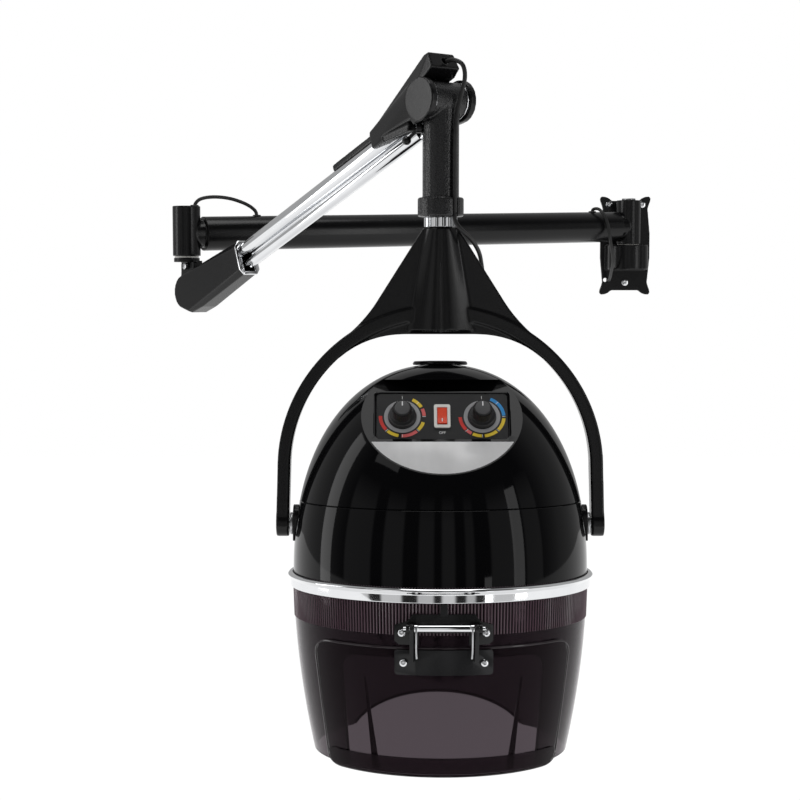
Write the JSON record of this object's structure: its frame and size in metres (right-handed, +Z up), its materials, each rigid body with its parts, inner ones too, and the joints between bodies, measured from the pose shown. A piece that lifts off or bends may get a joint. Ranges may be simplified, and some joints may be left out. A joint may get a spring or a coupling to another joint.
{
  "type": "hair color processor",
  "caption": "Wall-mounted salon hood dryer: black dome with smoked skirt and flip-up visor, held in a yoke under a folding spring-balanced arm with a control panel on the dome.",
  "frame": {"origin": "centre of the wall plate's back face, on the wall", "axes": "+X to the right as seen from the room, +Y into the wall, +Z up"},
  "size_m": [0.7293, 0.992, 0.8012],
  "materials": {
    "black_paint": "satin",
    "gloss_black": "gloss",
    "chrome": "mirror",
    "steel": "brushed",
    "smoked": "clear gloss",
    "grey_plastic": "matte",
    "black_rubber": "matte",
    "black_knob": "satin",
    "pale_nylon": "matte",
    "red_plastic": "gloss",
    "aluminium": "satin"
  },
  "bodies": {
    "wall_bracket": {"wall_plate": "black_paint", "bracket_pin": "steel", "bracket_washer": "pale_nylon", "wall_screw_left": "chrome", "wall_screw_right": "chrome", "wall_screw_low": "chrome"},
    "swing_arm": {"swing_root": "black_paint", "swing_end": "black_paint", "swing_tube": "black_paint", "elbow_cable": "black_rubber", "wall_cable": "black_rubber"},
    "elbow": {"elbow_base": "black_paint", "elbow_pin": "steel", "elbow_washer": "pale_nylon", "elbow_nut": "steel", "link_pin_low": "steel"},
    "spring_arm": {"arm_root": "black_paint", "mouth_ring": "chrome", "lift_pin": "steel", "arm_tube": "chrome", "arm_spring": "steel", "arm_head": "black_paint", "head_pin": "steel"},
    "link": {"link_rod": "chrome"},
    "post": {"post_body": "black_paint", "link_pin_high": "steel", "head_washer_near": "chrome", "head_washer_far": "chrome", "post_cable": "black_rubber"},
    "lever": {"tension_lever": "black_paint"},
    "yoke": {"yoke_body": "black_paint", "swivel_ring": "chrome", "yoke_cable": "black_rubber", "tilt_washer_left": "steel", "tilt_washer_right": "steel"},
    "hood": {"upper_shell": "gloss_black", "lower_shell": "gloss_black", "top_cap": "gloss_black", "chrome_ring": "chrome", "skirt": "smoked", "hinge_leaf": "black_paint", "hinge_roller": "chrome", "side_bracket_left": "black_paint", "side_bracket_right": "black_paint", "tilt_bolt_left": "steel", "tilt_bolt_right": "steel", "inner_bowl": "aluminium", "motor_carrier": "aluminium", "motor": "steel", "heater": "pale_nylon", "panel_plate": "grey_plastic", "timer_body": "pale_nylon", "thermostat_body": "pale_nylon", "switch_body": "pale_nylon"},
    "fan": {"impeller": "grey_plastic"},
    "timer_knob": {"timer_knob": "black_knob"},
    "heat_knob": {"heat_knob": "black_knob"},
    "rocker": {"rocker": "red_plastic"},
    "visor": {"visor": "smoked", "visor_leaf": "black_paint"}
  },
  "joints": [
    {"name": "swing", "type": "hinge", "parent": "wall_bracket", "child": "swing_arm", "pos_m": [0, -0.045, 0], "axis": [0, 0, 1], "range_deg": [-20, 110], "deforming": ["wall_cable"]},
    {"name": "elbow", "type": "hinge", "parent": "swing_arm", "child": "elbow", "pos_m": [-0.66825, -0.38549, -0.0705], "axis": [0, 0, -1], "range_deg": [-30, 70]},
    {"name": "lift", "type": "hinge", "parent": "elbow", "child": "spring_arm", "pos_m": [-0.66204, -0.38046, -0.0705], "axis": [-0.7771, -0.6293, 0], "range_deg": [-20, 15]},
    {"name": "link_low", "type": "hinge", "parent": "elbow", "child": "link", "pos_m": [-0.65728, -0.38633, -0.0888], "axis": [-0.7771, -0.6293, 0], "range_deg": [-20, 15]},
    {"name": "head", "type": "hinge", "parent": "spring_arm", "child": "post", "pos_m": [-0.3222, -0.80012, 0.1525], "axis": [-0.7771, -0.6293, 0], "range_deg": [-15, 20], "deforming": ["post_cable"]},
    {"name": "swivel", "type": "hinge", "parent": "post", "child": "yoke", "pos_m": [-0.3222, -0.80012, 0.01], "axis": [0, 0, 1], "range_deg": [-60, 60], "deforming": ["yoke_cable"]},
    {"name": "tension", "type": "hinge", "parent": "post", "child": "lever", "pos_m": [-0.3222, -0.80012, 0.1215], "axis": [-1, 0, 0], "range_deg": [-35, 35]},
    {"name": "tilt", "type": "hinge", "parent": "yoke", "child": "hood", "pos_m": [-0.3222, -0.80012, -0.3335], "axis": [1, 0, 0], "range_deg": [-22, 20]},
    {"name": "visor", "type": "hinge", "parent": "hood", "child": "visor", "pos_m": [-0.3222, -0.98698, -0.4157], "axis": [-1, 0, 0], "range_deg": [0, 100]},
    {"name": "fan", "type": "hinge", "parent": "hood", "child": "fan", "pos_m": [-0.3222, -0.79522, -0.25966], "axis": [0, 0.0663, 0.9978], "continuous": true},
    {"name": "timer", "type": "hinge", "parent": "hood", "child": "timer_knob", "pos_m": [-0.3662, -0.88164, -0.20281], "axis": [0, -0.831, 0.5563], "range_deg": [-300, 0]},
    {"name": "heat", "type": "hinge", "parent": "hood", "child": "heat_knob", "pos_m": [-0.2782, -0.88164, -0.20281], "axis": [0, -0.831, 0.5563], "range_deg": [-270, 0]},
    {"name": "power", "type": "hinge", "parent": "hood", "child": "rocker", "pos_m": [-0.3222, -0.88081, -0.20337], "axis": [1, 0, 0], "range_deg": [-8, 8]}
  ],
  "couplings": [
    {"joint": "link_low", "follows": "lift", "ratio": 1},
    {"joint": "head", "follows": "lift", "ratio": -1}
  ]
}
